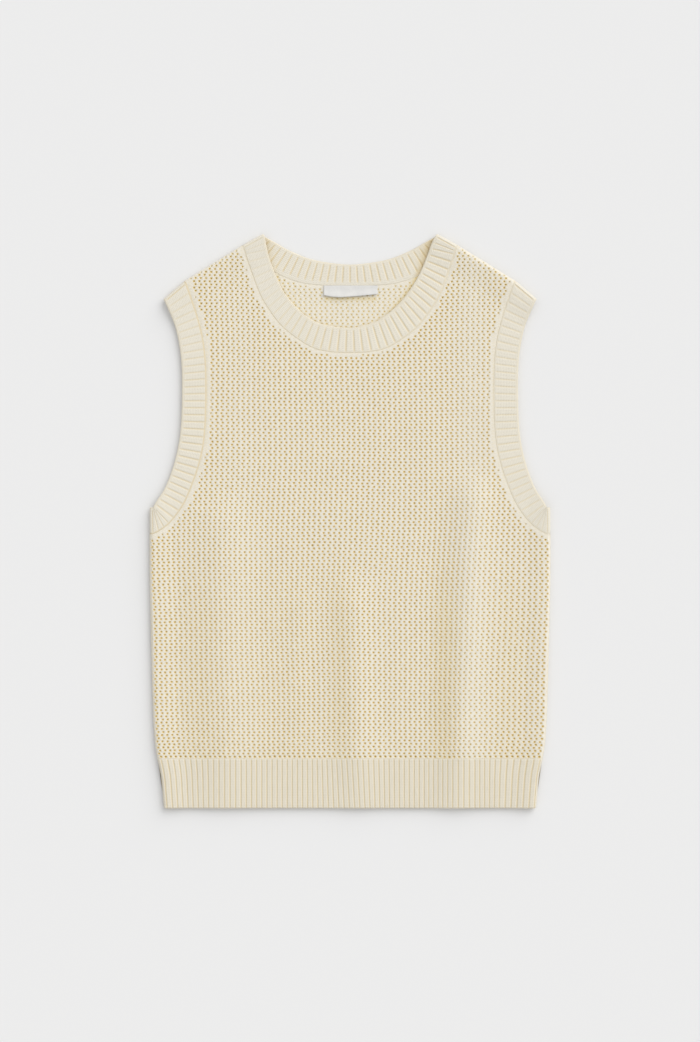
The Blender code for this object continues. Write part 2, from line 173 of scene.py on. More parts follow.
def at(line, share):
    """The points at shares of the line's length."""
    far = lengths(line)
    want = np.clip(share, 0.0, 1.0) * far[-1]
    return np.stack([np.interp(want, far, line[:, k]) for k in range(line.shape[1])], axis=-1)


def inset(point):
    """Where the fold of the shoulder begins, for a point on the shoulder line."""
    return np.array(point) - FOLD * OUT


def neck_line(points, mark):
    return curve([*points, inset(SHOULDER[mark])], from_centre=True)


SIDE_LINE = curve(SIDE)
SHOULDER_MARKS = np.array(
    [(p[0] * OUT[1] - p[1] * OUT[0], p[0] * OUT[0] + p[1] * OUT[1]) for p in SHOULDER.values()]
)
ARM_SEAM = curve([(CHEST / 2 - FOLD, UNDERARM_SEAM), *ARMHOLE_SEAM, inset(SHOULDER["arm_seam"])])
ARM_EDGE = curve([(CHEST / 2 - FOLD, UNDERARM), *ARMHOLE_EDGE, inset(SHOULDER["tip"])])
FRONT_SEAM = neck_line(FRONT_NECK_SEAM, "neck_seam")
BACK_SEAM = neck_line(BACK_NECK_SEAM, "neck_seam")
FRONT_EDGES = {hand: neck_line(edge, "neck_point") for hand, edge in FRONT_NECK_EDGE.items()}
BACK_EDGE = neck_line(BACK_NECK_EDGE, "neck_point")


def half_width(up):
    """From the centre line to the side fold's outermost point."""
    return np.interp(up, SIDE_LINE[:, 1], SIDE_LINE[:, 0])


def shoulder_distance(out, up):
    along = out * OUT[1] - up * OUT[0]
    line = np.interp(along, SHOULDER_MARKS[:, 0], SHOULDER_MARKS[:, 1])
    return line - out * OUT[0] - up * OUT[1]


def soft_folds(out, up):
    height = SWELL * smooth((SWELL_TOP - up) / SWELL_RUN)
    for top_out, top_up, foot_out, foot_up, half, rise in SOFT_FOLDS:
        share = (up - foot_up) / (top_up - foot_up)
        middle = foot_out + (top_out - foot_out) * share
        along = smooth((top_up - up) / FADE)
        if foot_up > HEM_BAND:
            along = along * smooth((up - foot_up) / FADE)
        height = height + rise * along * np.exp(-(((out - middle) / half) ** 2))
    calm = HEM_SWELL + (1 - HEM_SWELL) * smooth(up / HEM_SWELL_RUN)
    return np.maximum(height * calm, 0.0)


def ripple(out, up):
    """The slight unevenness of cloth that was smoothed by hand, in two waves that wander."""
    (long, long_out, long_up), (short, short_out, short_up) = RIPPLES
    wave = long * np.sin(out / long_out + 1.3 * np.sin(up / 61.0)) * np.sin(up / long_up + 0.6)
    return wave + short * np.sin(out / short_out - up / 41.0 + 2.0) * np.sin(up / short_up + out / 70.0)


def front_height(out, up):
    """Height of the front's inner face above the surface that the top lies on."""
    side = 1 - smooth((half_width(up) - np.abs(out) - FOLD) / PUFF_REACH)
    side = side * (1 - smooth((up - UNDERARM) / PUFF_ABOVE_ARM))
    shoulder = 1 - smooth((shoulder_distance(np.abs(out), up) - FOLD) / PUFF_REACH)
    lifts = np.stack([PUFF * side, PUFF * shoulder, soft_folds(out, up)])
    most = lifts.max(axis=0)
    blend = BLEND * np.log(np.exp((lifts - most) / BLEND).sum(axis=0))
    calm = np.minimum(1 - side, 1 - shoulder)
    return FRONT + most + (blend + ripple(out, up)) * calm


# Draping. `rise` is the height over the cloth's outer face, which is WALL above its inner one.

FOLD_FROM, FOLD_TO = inset(SHOULDER["neck_seam"]), inset(SHOULDER["arm_seam"])


def cross(a, b):
    return a[..., 0] * b[..., 1] - a[..., 1] * b[..., 0]


def laid(flat):
    """Where flat cloth lies in plan, which way its fold goes, and how far round the fold it is."""
    hand = np.where(flat[:, 0] < 0, -1.0, 1.0)
    point = np.stack([np.abs(flat[:, 0]), flat[:, 1]], axis=-1)
    way = np.tile((1.0, 0.0), (len(flat), 1))
    over = np.maximum(point[:, 0] - (half_width(point[:, 1]) - FOLD), 0.0)
    run = FOLD_TO - FOLD_FROM
    shoulder = cross(run, point - FOLD_FROM) / cross(run, OUT)
    top = (shoulder > 0) & (point[:, 1] > UNDERARM)
    way[top] = OUT
    over[top] = shoulder[top]
    base = point - way * over[:, None]
    base[:, 0] *= hand
    way[:, 0] *= hand
    return base, way, over / FOLD


def drape_front(flat, rise):
    base, way, turn = laid(flat)
    radius = FOLD + rise
    plan = base + way * (radius * np.sin(turn))[:, None]
    flat_height = front_height(base[:, 0], base[:, 1]) + WALL + rise
    height = np.where(turn > 0, FOLD + radius * np.cos(turn), flat_height)
    return np.column_stack([plan, height])


def pressed(rise):
    return PRESS * np.clip((rise + WALL) / (PRESS + WALL), 0.0, 1.0)


def drape_back(flat, rise):
    base, way, turn = laid(flat)
    radius = FOLD + rise - pressed(rise) * np.cos(turn)
    plan = base + way * (radius * np.sin(turn))[:, None]
    return np.column_stack([plan, FOLD - radius * np.cos(turn)])


def drape_inside(flat, rise):
    """The back's inner face, which shows through the neck."""
    return np.column_stack([flat, WALL + rise])


# Outlines of the panels, laid out flat.


def mirrored(line):
    return (line * (-1, 1))[::-1]


SIDE_STEPS = 24
# The room that holes leave along each edge, sideways and up, and the share of it over which they fade.
FOOT_ROOM = ((2.3, 2.3), 0.01)
SIDE_ROOM = ((1.8, 1.8), 1.8)
ARM_ROOM = ((4.6, 4.4), 0.35)
SHOULDER_ROOM = ((1.7, 1.7), 1.0)
NECK_FADE = 0.2
FRONT_NECK_ROOMS = [(3.6, 2.7), (5.0, 3.3)]  # on the wearer's left half, and on the right one
BACK_NECK_ROOMS = [(2.8, 2.7), (2.8, 2.7)]


def panel_edges(neck_seam, neck_rooms):
    """The edges of the +X half in order from the foot, each with its room on both halves and its fade."""
    up = np.linspace(HEM_BAND, UNDERARM_SEAM, SIDE_STEPS)
    side = np.column_stack([half_width(up) - FOLD + FLAT_FOLD, up])
    shoulder = np.array([ARM_SEAM[-1], ARM_SEAM[-1] + OUT * FLAT_FOLD])
    shoulder = np.vstack([shoulder, neck_seam[-1] + OUT * FLAT_FOLD, neck_seam[-1]])
    lines = [
        (np.array([(0, HEM_BAND), side[0]]), FOOT_ROOM),
        (side, SIDE_ROOM),
        (np.vstack([side[-1], ARM_SEAM]), ARM_ROOM),
        (shoulder, SHOULDER_ROOM),
    ]
    edges = [(line, [room] * 2, fade) for line, (room, fade) in lines]
    return [*edges, (neck_seam[::-1], neck_rooms, NECK_FADE)]


def outline_of(edges):
    half = np.vstack([line for line, *_ in edges])
    return np.vstack([half, mirrored(half), half[:1]])


def nearest(points, line):
    """The distance from each point to a line, and the nearest point of it."""
    best = np.full(len(points), np.inf)
    spot = np.zeros_like(points)
    for a, b in zip(line, line[1:]):
        run = b - a
        size = run @ run
        if size < 1e-12:
            continue
        share = np.clip(((points - a) @ run) / size, 0.0, 1.0)
        foot = a + share[:, None] * run
        far = np.hypot(*(points - foot).T)
        closer = far < best
        best[closer] = far[closer]
        spot[closer] = foot[closer]
    return best, spot


def inside(points, outline):
    """Which points are inside the closed outline."""
    odd = np.zeros(len(points), bool)
    x, y = points.T
    for a, b in zip(outline, outline[1:]):
        if a[1] == b[1]:
            continue
        spans = (a[1] > y) != (b[1] > y)
        odd ^= spans & (x < a[0] + (y - a[1]) * (b[0] - a[0]) / (b[1] - a[1]))
    return odd


def area_of(outline):
    x, y = outline.T
    return abs(np.sum(x[:-1] * y[1:] - x[1:] * y[:-1])) / 2


# The mesh knit. A cell has a hole in its middle, and shares its border with its neighbours.

# How close the wales lie at places across the front's lower half: (out from the centre, spread).
SPREAD = [
    (-215, 0.97), (-180, 0.965), (-131, 1.0), (-83, 0.97), (-35, 0.995), (13, 1.0), (61, 1.01),
    (90, 0.97), (109, 0.93), (125, 0.97), (157, 1.11), (190, 1.12), (215, 1.04),
]
SPREAD_TOP = 400.0  # from here up the wales lie evenly, and over the run below it less and less so
SPREAD_RUN = 200.0
SPREAD_STEP = 0.01
ZIGZAG_GAIN = 3.2  # how much more than their spread the rows' zigzag grows or shrinks
ZIGZAG_LIMITS = (0.5, 1.15)


def spread_line():
    """Where evenly numbered places land once the cloth is bunched, both from -1 to 1."""
    out, spread = np.array(SPREAD).T
    far = np.concatenate(([0], np.cumsum((spread[1:] + spread[:-1]) / 2 * np.diff(out))))
    return out / out[-1], far / far[-1] * 2 - 1


def bunched(share, up):
    """Moves a share of the half width, from -1 to 1, as the front's wales are bunched by its folds."""
    moved = np.interp(share, *spread_line())
    calm = smooth((SPREAD_TOP - up) / SPREAD_RUN)
    return np.where(np.abs(share) > 1, share, share + (moved - share) * calm)


# Stripes up the front: (out from the centre, half width, amount).
SHUT_AND_LIT = [(131, 17, 0.45), (-118, 22, 0.15)]  # where the holes close up and look paler: partly smaller holes, partly painted light on a fold's lit flank
# Painted shade: stripes beside the folds where the cloth's colour is darker, as on their shaded sides.
PAINTED_FOLD_SHADE = [(-162, 26, 0.08), (-70, 60, 0.05), (-11, 12, 0.1), (101, 14, 0.15), (172, 22, 0.1)]
PAINTED_FOLD_SHADE_TOP = 290.0
PAINTED_FOLD_SHADE_RUN = 90.0
INSIDE_SHADE = 0.75  # how much of the painted shadow inside the neck the knit takes
# How the wales and rows wander: (millimetres, length across, length up, start).
WALE_WANDER = [(0.75, 90.0, 47.0, 0.0), (0.4, -55.0, 21.0, 1.0)]
ROW_WANDER = [(0.75, 52.0, 120.0, 0.5), (0.4, 23.0, math.inf, 2.0)]
LEVEL_ROWS = 20.0  # above the hem band the rows take this much to wander in full


def stripes(flat, rows):
    return sum(amount * np.exp(-(((flat[:, 0] - out) / half) ** 2)) for out, half, amount in rows)


def painted_plain_shade(flat, drape):
    """How much painted shade the cloth takes apart from its holes: a shadow inside the back, and stripes
    beside the front's folds.
    """
    if drape is drape_inside:
        return INSIDE_SHADE * painted_shadow(flat)
    if drape is drape_front:
        return stripes(flat, PAINTED_FOLD_SHADE) * smooth((PAINTED_FOLD_SHADE_TOP - flat[:, 1]) / PAINTED_FOLD_SHADE_RUN)
    return np.zeros(len(flat))


def warp(flat):
    """The slight wander of the wales and rows."""
    u, v = flat.T
    du, dv = (
        sum(size * np.sin(u / across + v / up + start) for size, across, up, start in wander)
        for wander in (WALE_WANDER, ROW_WANDER)
    )
    return flat + np.column_stack([du, dv * smooth((v - HEM_BAND) / LEVEL_ROWS)])


def lattice(a, b, front):
    """The place in the flat cloth of wale and row numbers. Holes have whole numbers."""
    up = HEM_BAND + FIRST_ROW + b * ROW
    whole = CHEST / 2 - FOLD + FLAT_FOLD
    share = (a + 0.5) * PITCH / whole
    close = 1.0
    if front:
        spread = bunched(share + SPREAD_STEP, up) - bunched(share - SPREAD_STEP, up)
        close = np.clip(1 + ZIGZAG_GAIN * (spread / (2 * SPREAD_STEP) - 1), *ZIGZAG_LIMITS)
        share = bunched(share, up)
    zig = ZIGZAG * close * np.cos(np.pi * b) * PITCH
    narrow = half_width(np.clip(up, HEM_BAND, FULL_WIDTH)) / (CHEST / 2)
    return warp(np.column_stack([(share * whole + zig) * narrow, up]))


# Rise and painted-shade depth of the lattice's nodes: [whole wale number][whole row number].
NODE_RISE = np.array([(0.05, 0.14), (-0.02, 0.1)])
NODE_DEPTH = np.array([(0.06, 0.0), (0.17, 0.1)])
# Eight points round a cell, from +X on: its border in lattice steps, and the crest of its yarn.
AROUND = [(1, 0), (1, 1), (0, 1), (-1, 1), (-1, 0), (-1, -1), (0, -1), (1, -1)]
CREST = np.array([
    (2.05, 0), (1.62, 1.14), (0, 1.36), (-1.62, 1.14),
    (-2.05, 0), (-1.78, -1.14), (0, -1.36), (1.78, -1.14),
])
CREST_RISE = np.array([0.28, 0.24, 0.06, 0.24, 0.28, 0.24, 0.08, 0.24])
# Painted shade round the crest: darker above and below the hole.
CREST_DEPTH = np.array([0, 0.02, 0.12, 0.02, 0, 0.02, 0.12, 0.02])
EDGE_CALM = 2.5  # from a panel's edge to where its relief is full
EDGE_DEPTH = (0.1, 1.1)  # how much deeper a panel looks at its edge, and how far in
SEAM_DIP = 0.26  # how far the panels' edges turn down to the bands
SEAM_DIP_REACH = 1.0
SEAM_DIP_TURN = 0.5  # radians round the folds, by which the dip ends
FOLD_CLEAR = 0.85  # no holes further round the folds at the sides and shoulders, in radians
REGION_CLEAR = 2.3  # no holes nearer than this to the edge of a region
LEAST_FACE = 0.04
HOLE = (1.28, 1.17)  # half its width and height at the rim
HOLE_TURN = np.arange(8) * np.pi / 4
LEAN = math.radians(20)  # of the holes, to one side and the other by rows
LEAN_SPREAD = 0.16
SIZE_SPREAD = 0.06
SIZE_LIMITS = (0.8, 1.2)
FIRST_ROW_SIZE = 1.16
DRIFT_SPREAD = 0.1
RISE_SPREAD = 0.03
# Of a hole where they fade out, and what a full one adds.
FADED_SIZE = (0.75, 0.25)
FADED_DEPTH = (0.55, 0.45)
FOLD_FADE = 0.6  # how much less deep holes look round the folds
CREST_DRIFT = 0.4  # share of its hole's drift
RIM_RISE, RIM_DEPTH = -0.1, 0.42
FOOT_RISE, FOOT_SIZE = -0.8, 0.38  # of a through hole
TIP_RISE = -1.0  # of a dent


class Cloth:
    """Points and faces of one surface, gathered before its meshes are made."""

    def __init__(self):
        self.marked, self.faces, self.count = [], [], 0

    def points(self, places, knit, flat):
        """Adds points, with their knit attribute and their place in the flat cloth, and numbers them."""
        self.marked.append((places, knit, flat))
        self.count += len(places)
        return np.arange(self.count - len(places), self.count)

    def quads(self, corners, rows=None):
        """Adds faces, with the number of the row that each lies in."""
        corners = np.asarray(corners).reshape(-1, 4)
        self.faces.append((corners, np.zeros(len(corners)) if rows is None else rows))


def knit_panel(edges, drape, seed, through=True, region=None, hole=1.0, deep=1.0, relief=1.0):
    """The open knit inside the edges, or in a region of it. Holes go through, or are dents."""
    rng = np.random.default_rng(seed)
    outline = outline_of(edges)
    high = outline.max(axis=0)
    last_a = math.ceil(high[0] / (PITCH * 0.95)) + 1
    last_b = math.ceil((high[1] - HEM_BAND) / ROW) + 2
    first_b = -2
    if region is not None:
        first_b = int((region[:, 1].min() - HEM_BAND) / ROW) - 2
    a = np.arange(-2 * last_a - 1, 2 * last_a + 2) / 2
    b = np.arange(2 * first_b - 1, 2 * last_b + 2) / 2
    grid_a, grid_b = np.meshgrid(a, b)
    shape = grid_a.shape
    nodes = lattice(grid_a.ravel(), grid_b.ravel(), drape is drape_front)
    within = inside(nodes, outline)
    if region is not None:
        within &= inside(nodes, region)
        outline = region
    gap, spot = nearest(nodes, outline)
    nodes[~within] = spot[~within]
    gap[~within] = 0.0

    middles = np.meshgrid(*(np.arange(1, size - 1, 2) for size in shape), indexing="ij")
    middle_l, middle_k = map(np.ravel, middles)
    index = np.arange(len(nodes)).reshape(shape)
    centre = index[middle_l, middle_k]
    open_cell = within[centre]
    turn = np.zeros(len(nodes)) if drape is drape_inside else laid(nodes)[2]
    places = nodes[centre]
    full = np.ones(len(centre))
    for line, rooms, fade in edges:
        for way, room in zip((line, mirrored(line)), rooms):
            clear = nearest(places / room, way / room)[0] - 1
            open_cell &= clear > 0
            full = np.minimum(full, smooth(clear / fade))
    if region is not None:
        open_cell &= nearest(places, region)[0] > REGION_CLEAR
    open_cell &= turn[centre] < FOLD_CLEAR

    whole = [(np.rint(grid) == grid).ravel().astype(int) for grid in (grid_a, grid_b)]
    dip = SEAM_DIP * (1 - smooth(gap / SEAM_DIP_REACH)) * (1 - smooth(turn / SEAM_DIP_TURN))
    rise = NODE_RISE[tuple(whole)] * smooth(gap / EDGE_CALM) - dip
    depth = NODE_DEPTH[tuple(whole)] + EDGE_DEPTH[0] * (1 - smooth(gap / EDGE_DEPTH[1]))
    depth = depth + painted_plain_shade(nodes, drape)
    knit = np.column_stack([grid_a.ravel() + 0.5, grid_b.ravel(), depth])

    made = Cloth()
    made.points(drape(nodes, rise), knit, nodes)

    # Plain cells, in quarters.
    plain_l, plain_k = middle_l[~open_cell], middle_k[~open_cell]
    for dk, dl in ((0, 0), (0, -1), (-1, 0), (-1, -1)):
        k, l = plain_k + dk, plain_l + dl
        corners = np.stack([index[l, k], index[l, k + 1], index[l + 1, k + 1], index[l + 1, k]], axis=1)
        corners = corners[within[corners].any(axis=1)]
        spots = nodes[corners]
        size = cross(spots[:, 2] - spots[:, 0], spots[:, 3] - spots[:, 1]) / 2
        corners = corners[size > LEAST_FACE]
        made.quads(corners, knit[corners[:, 0], 1])

    # Cells with holes.
    l, k = middle_l[open_cell], middle_k[open_cell]
    border = np.stack([index[l + dl, k + dk] for dk, dl in AROUND], axis=1)
    centre = index[l, k]
    places = nodes[centre]
    row = grid_b.ravel()[centre]
    wale = grid_a.ravel()[centre] + 0.5
    count = len(centre)
    side = np.where(np.rint(row) % 2 == 0, 1.0, -1.0)
    lean = -side * LEAN + rng.normal(0, LEAN_SPREAD, count)
    stretch = np.clip(1 + rng.normal(0, SIZE_SPREAD, (count, 2)), *SIZE_LIMITS)
    stretch *= np.where(np.rint(row) == 0, FIRST_ROW_SIZE, 1.0)[:, None]
    drift = rng.normal(0, DRIFT_SPREAD, (count, 2))
    full = full[open_cell] * (1 - stripes(places, SHUT_AND_LIT) * (drape is drape_front))
    stretch *= (FADED_SIZE[0] + FADED_SIZE[1] * full)[:, None]
    seen = 1 - FOLD_FADE * smooth(turn[centre])
    tone = (deep * (FADED_DEPTH[0] + FADED_DEPTH[1] * full) * seen)[:, None]
    x = HOLE[0] * hole * stretch[:, :1] * np.cos(HOLE_TURN)
    y = HOLE[1] * hole * stretch[:, 1:] * np.sin(HOLE_TURN)
    cos, sin = np.cos(lean)[:, None], np.sin(lean)[:, None]
    rim = np.stack([x * cos - y * sin, x * sin + y * cos], axis=-1)
    plain = painted_plain_shade(places, drape)[:, None]

    def ring(offsets, up, deep):
        spots = places[:, None] + offsets
        steps = len(offsets[0])
        heights = np.broadcast_to(up, (count, steps)) + rng.normal(0, RISE_SPREAD, (count, steps))
        marks = np.empty((count, steps, 3))
        marks[..., 0] = wale[:, None] + offsets[..., 0] / PITCH
        marks[..., 1] = row[:, None] + offsets[..., 1] / ROW
        marks[..., 2] = np.maximum(deep, plain)
        spots, marks = spots.reshape(-1, 2), marks.reshape(-1, 3)
        return made.points(drape(spots, heights.ravel()), marks, spots).reshape(count, steps)

    def bridge(first, second):
        steps = second.shape[1]
        for m in range(8):
            n = (m + 1) % 8
            corners = [first[:, m], first[:, n], second[:, n % steps], second[:, m % steps]]
            made.quads(np.stack(corners, axis=1), row)

    drift = drift[:, None]
    rim_ring = ring(rim + drift, RIM_RISE, RIM_DEPTH * tone)
    if through:
        crest = ring(CREST + drift * CREST_DRIFT, CREST_RISE * relief, CREST_DEPTH)
        bridge(border, crest)
        bridge(crest, rim_ring)
        bridge(rim_ring, ring(rim * FOOT_SIZE + drift, FOOT_RISE * relief, tone))
    else:
        bridge(border, rim_ring)
        bridge(rim_ring, ring(drift, TIP_RISE, tone))
    return made


# Meshes.

UV_MARGIN = 0.01


def normals_of(places, faces):
    spots = places[faces]
    square = np.cross(spots[:, 2] - spots[:, 0], spots[:, 3] - spots[:, 1])
    total = np.zeros_like(places)
    for k in range(4):
        for axis in range(3):
            total[:, axis] += np.bincount(faces[:, k], square[:, axis], minlength=len(places))
    return total / np.maximum(np.linalg.norm(total, axis=1, keepdims=True), 1e-12)


def mesh_of(name, places, faces, knit, flat, normals, material):
    """A mesh object. A face whose last two corners are the same is a triangle, others are quads."""
    used, faces = np.unique(faces, return_inverse=True)
    faces = faces.reshape(-1, 4)
    three = faces[:, 2] == faces[:, 3]
    loops = np.concatenate([faces[~three].ravel(), faces[three][:, :3].ravel()])
    sizes = np.concatenate([np.full((~three).sum(), 4), np.full(three.sum(), 3)])
    data = bpy.data.meshes.new(name)
    data.vertices.add(len(used))
    data.loops.add(len(loops))
    data.polygons.add(len(sizes))
    spots = places[used] - (0, LENGTH / 2, 0)
    data.vertices.foreach_set("co", (spots * MM).astype(np.float32).ravel())
    data.loops.foreach_set("vertex_index", loops.astype(np.int32))
    data.polygons.foreach_set("loop_start", np.concatenate(([0], np.cumsum(sizes)[:-1])).astype(np.int32))
    data.update(calc_edges=True)
    data.validate()
    data.shade_smooth()
    marks = data.attributes.new("knit", "FLOAT_VECTOR", "POINT")
    marks.data.foreach_set("vector", knit[used].astype(np.float32).ravel())
    low, high = flat[used].min(axis=0), flat[used].max(axis=0)
    spread = (flat[used] - low) / (high - low).max() * (1 - 2 * UV_MARGIN) + UV_MARGIN
    layer = data.uv_layers.new(name="OFBake")
    corners = np.empty(len(data.loops), np.int32)
    data.loops.foreach_get("vertex_index", corners)
    layer.data.foreach_set("uv", spread[corners].astype(np.float32).ravel())
    if normals is not None:
        data.normals_split_custom_set_from_vertices(normals[used].astype(np.float32))
    made = bpy.data.objects.new(name, data)
    bpy.context.scene.collection.objects.link(made)
    data.materials.append(material)
    return made


def make_cloth(cloth, names, material, cuts=(), turn_over=False):
    """Makes the cloth's meshes. Cuts, at row numbers, part them."""
    places, knit, flat = map(np.concatenate, zip(*cloth.marked))
    faces, rows = map(np.concatenate, zip(*cloth.faces))
    if turn_over:
        faces = np.where((faces[:, 2] == faces[:, 3])[:, None], faces[:, [1, 0, 2, 3]], faces[:, ::-1])
    normals = normals_of(places, faces)
    made = []
    bounds = [-np.inf, *cuts, np.inf]
    for name, low, high in zip(names, bounds, bounds[1:]):
        part = faces[(rows >= low) & (rows < high)]
        made.append(mesh_of(name, places, part, knit, flat, normals if cuts else None, material))
    return made


# The ribbing: two knitted wales and a sunken one between them.

RIB_STEPS = np.array([0, 0.07, 0.13, 0.2, 0.3, 0.4, 0.5, 0.6, 0.7, 0.8, 0.87, 0.93])
RIB_RISE = np.array([-0.38, -0.24, 0.02, 0.16, 0.22, 0.17, 0.1, 0.17, 0.22, 0.16, 0.02, -0.24])
# Painted shade across a rib: darker colour down into the groove between the ribs.
RIB_DEPTH = np.array([0.6, 0.42, 0.12, 0.02, 0, 0.02, 0.08, 0.02, 0, 0.02, 0.12, 0.42])
RIB_WALE = np.interp(RIB_STEPS, (0, 0.3, 0.5, 0.7, 1), (-0.5, 0, 0.5, 1, 1.5))

TUCK = 0.6  # how far a band's end reaches in under the panel
INNER_RELIEF = -0.8  # of the ribs' rise, on a band's inner face
WALE_WIDTH = 3.4
ON_FRONT = math.radians(89.9)  # a ring's angle from which it lies on the front
FOLD_RIBS = 2  # in each of a ring's folds
ARMBAND = 27.0  # width
MEAN_NECKBAND = 24.5  # width, over front and back
# A band's section from its edge over the outer face to its tucked end, then back along the inner face:
# (millimetres from the edge, or from the tucked end if below zero; height over the outer face; how much of
# the ribs shows there; how dark its colour is, for the seam's dark line and painted shade).
OUTER_SECTION = [
    (0, -1.2, 0, 0.16), (0.15, -0.45, 0, 0.14), (0.5, -0.12, 0, 0.12), (1.6, 0.01, 0.08, 0.1),
    (2.8, 0.03, 0.55, 0.05), *[(mm, 0, 1, 0) for mm in (4, 7, 11, -12, -8, -4)],
]
ARM_SEAM_ROWS = [
    (-2.6, 0, 0.85, 0), (-1.9, -0.04, 0.4, 0.14), (-1.1, -0.1, 0, 0.36), (-0.05, -0.3, 0, 0.46),
]
ARM_SEAM_SHADE = {1: 0.55, -1: 1.5}  # painted shade: the seam's colour is darker on the wearer's right, where its step faces away from the light
NECK_SEAM_ROWS = [
    (-2.4, 0, 0.9, 0), (-1.6, -0.03, 0.35, 0.1), (-0.9, -0.08, 0, 0.26), (-0.05, -0.25, 0, 0.36),
]
INNER_SECTION = [
    (-0.1, -WALL, 0, 0.6), (-8, -WALL, 0, 0.3), (8, -WALL, 0, 0.3), (0.9, -WALL, 0, 0.2),
    (0.25, -1.8, 0, 0.2),
]
INNER_RIBBED = [
    (-0.05, -WALL + 0.25, 0, 0.15), (-0.9, -WALL + 0.05, 0, 0.1), (-1.5, -WALL, 0, 0.05),
    (-3.6, -WALL, 0.05, 0), (-4.8, -WALL, 0.7, 0), *[(mm, -WALL, 1, 0) for mm in (-6, -9.5, 10, 6, 3.5)],
    (2.2, -WALL, 0.5, 0.05), (1.2, -WALL, 0.05, 0.1), (0.3, -1.8, 0, 0.15),
]
ARM_RIBS = 35  # from the underarm to the shoulder
# How much of the ribs' relief and of their grooves' painted shade shows along the bands,
# from one end to the other: (places, amounts).
ARM_SHOW = {
    1: ((0, 0.15, 0.3, 0.9, 1), (0.35, 0.45, 0.6, 0.5, 0.45)),
    -1: ((0, 0.5, 0.8, 1), (0.7, 0.8, 0.5, 0.4)),
}
NECK_SHOW = ((0, 0.2, 0.33, 0.45, 0.9, 1), (0.28, 0.28, 0.7, 0.9, 0.95, 0.75))
NECK_SHADE = ((0, 0.1, 0.2, 0.9, 1), (0.15, 0.1, 0, 0, 0.2))  # painted shade: darker colour on the inner face in the folds at the neck points
# Painted shade on the inner faces of the front neckband and its fold on the wearer's left, and less on the
# fold on the wearer's right.
FRONT_INSIDE_SHADE = ((0, 1), (0.5, 0.5))
RIGHT_FOLD_SHADE = ((0, 1), (0.3, 0.3))
# Painted shadow on the back's inner face beside the front neckband's edge: (heights, amounts) by side,
# and how far it reaches.
EDGE_SHADE = {1: ((515, 540), (0.15, 0.6)), -1: ((515, 540), (0.2, 0.2))}
EDGE_SHADE_REACH = ((520, 560, 595), (2.5, 5.0, 9.5))
# Painted shadow under the label: how dark, its foot's height and reach, and its middle, half width and side
# reach.
LABEL_SHADE = 0.42
LABEL_FOOT = 545.5
LABEL_FOOT_REACH = 4.5
LABEL_MIDDLE = 0.7
LABEL_HALF = 27
LABEL_SIDE_REACH = 3.0


def painted_shadow(plan):
    """Painted shadow on the back's inner face: how much darker it is beside the front neckband's edge and
    under the label.
    """
    out, up = plan[:, 0], plan[:, 1]
    shade = np.zeros(len(plan))
    for hand, most in EDGE_SHADE.items():
        far = nearest(plan, FRONT_EDGES[hand] * (hand, 1))[0]
        near = 1 - smooth(far / np.interp(up, *EDGE_SHADE_REACH))
        shade = np.maximum(shade, np.interp(up, *most) * near)
    under = 1 - smooth(np.abs(up - LABEL_FOOT) / LABEL_FOOT_REACH)
    beside = 1 - smooth((np.abs(out - LABEL_MIDDLE) - LABEL_HALF) / LABEL_SIDE_REACH)
    return np.maximum(shade, LABEL_SHADE * under * beside)


# Where the ribs run: (shares of the run, of the edge, of the seam), from the neck's middle or the underarm.
FRONT_NECK_LEAN = ((0, 0.5, 0.9, 1), (0, 0.5, 0.9, 1), (0, 0.54, 0.96, 1))
BACK_NECK_LEAN = ((0, 0.5, 0.9, 1), (0, 0.5, 0.9, 1), (0, 0.47, 0.86, 1))
ARM_LEAN = (
    (0, 0.1, 0.15, 0.26, 0.365, 0.47, 0.58, 0.765, 0.925, 1),
    (0, 0.005, 0.057, 0.177, 0.294, 0.412, 0.534, 0.74, 0.918, 1),
    (0, 0.083, 0.14, 0.247, 0.358, 0.464, 0.565, 0.742, 0.909, 1),
)


def section_shares(section, width):
    return np.array([(mm if mm >= 0 else width + TUCK + mm) / width for mm, *_ in section])


def rib_columns(ribs):
    """Along a run of ribs: shares of it, with each column's rise, depth and wale."""
    share = ((np.arange(ribs)[:, None] + RIB_STEPS) / ribs).ravel()
    wale = (2 * np.arange(ribs)[:, None] + RIB_WALE).ravel()
    return share, np.tile(RIB_RISE, ribs), np.tile(RIB_DEPTH, ribs), wale


def grid_cloth(places, knit, flat, closed_ring, cap_ends):
    """A surface from a grid of points, [column][section]. The section is closed."""
    columns, steps = places.shape[:2]
    made = Cloth()
    index = made.points(places.reshape(-1, 3), knit.reshape(-1, 3), flat.reshape(-1, 2))
    index = index.reshape(columns, steps)
    ahead = np.roll(index, -1, axis=0) if closed_ring else index[1:]
    here = index if closed_ring else index[:-1]
    made.quads(np.stack([here, ahead, np.roll(ahead, -1, axis=1), np.roll(here, -1, axis=1)], axis=-1))
    if cap_ends:
        for ring, flip in ((index[0], False), (index[-1], True)):
            half = steps // 2
            for m in range(half - 1):
                quad = [ring[m], ring[m + 1], ring[steps - 2 - m], ring[steps - 1 - m]]
                made.quads(np.array(quad[::-1] if flip else quad))
    return made


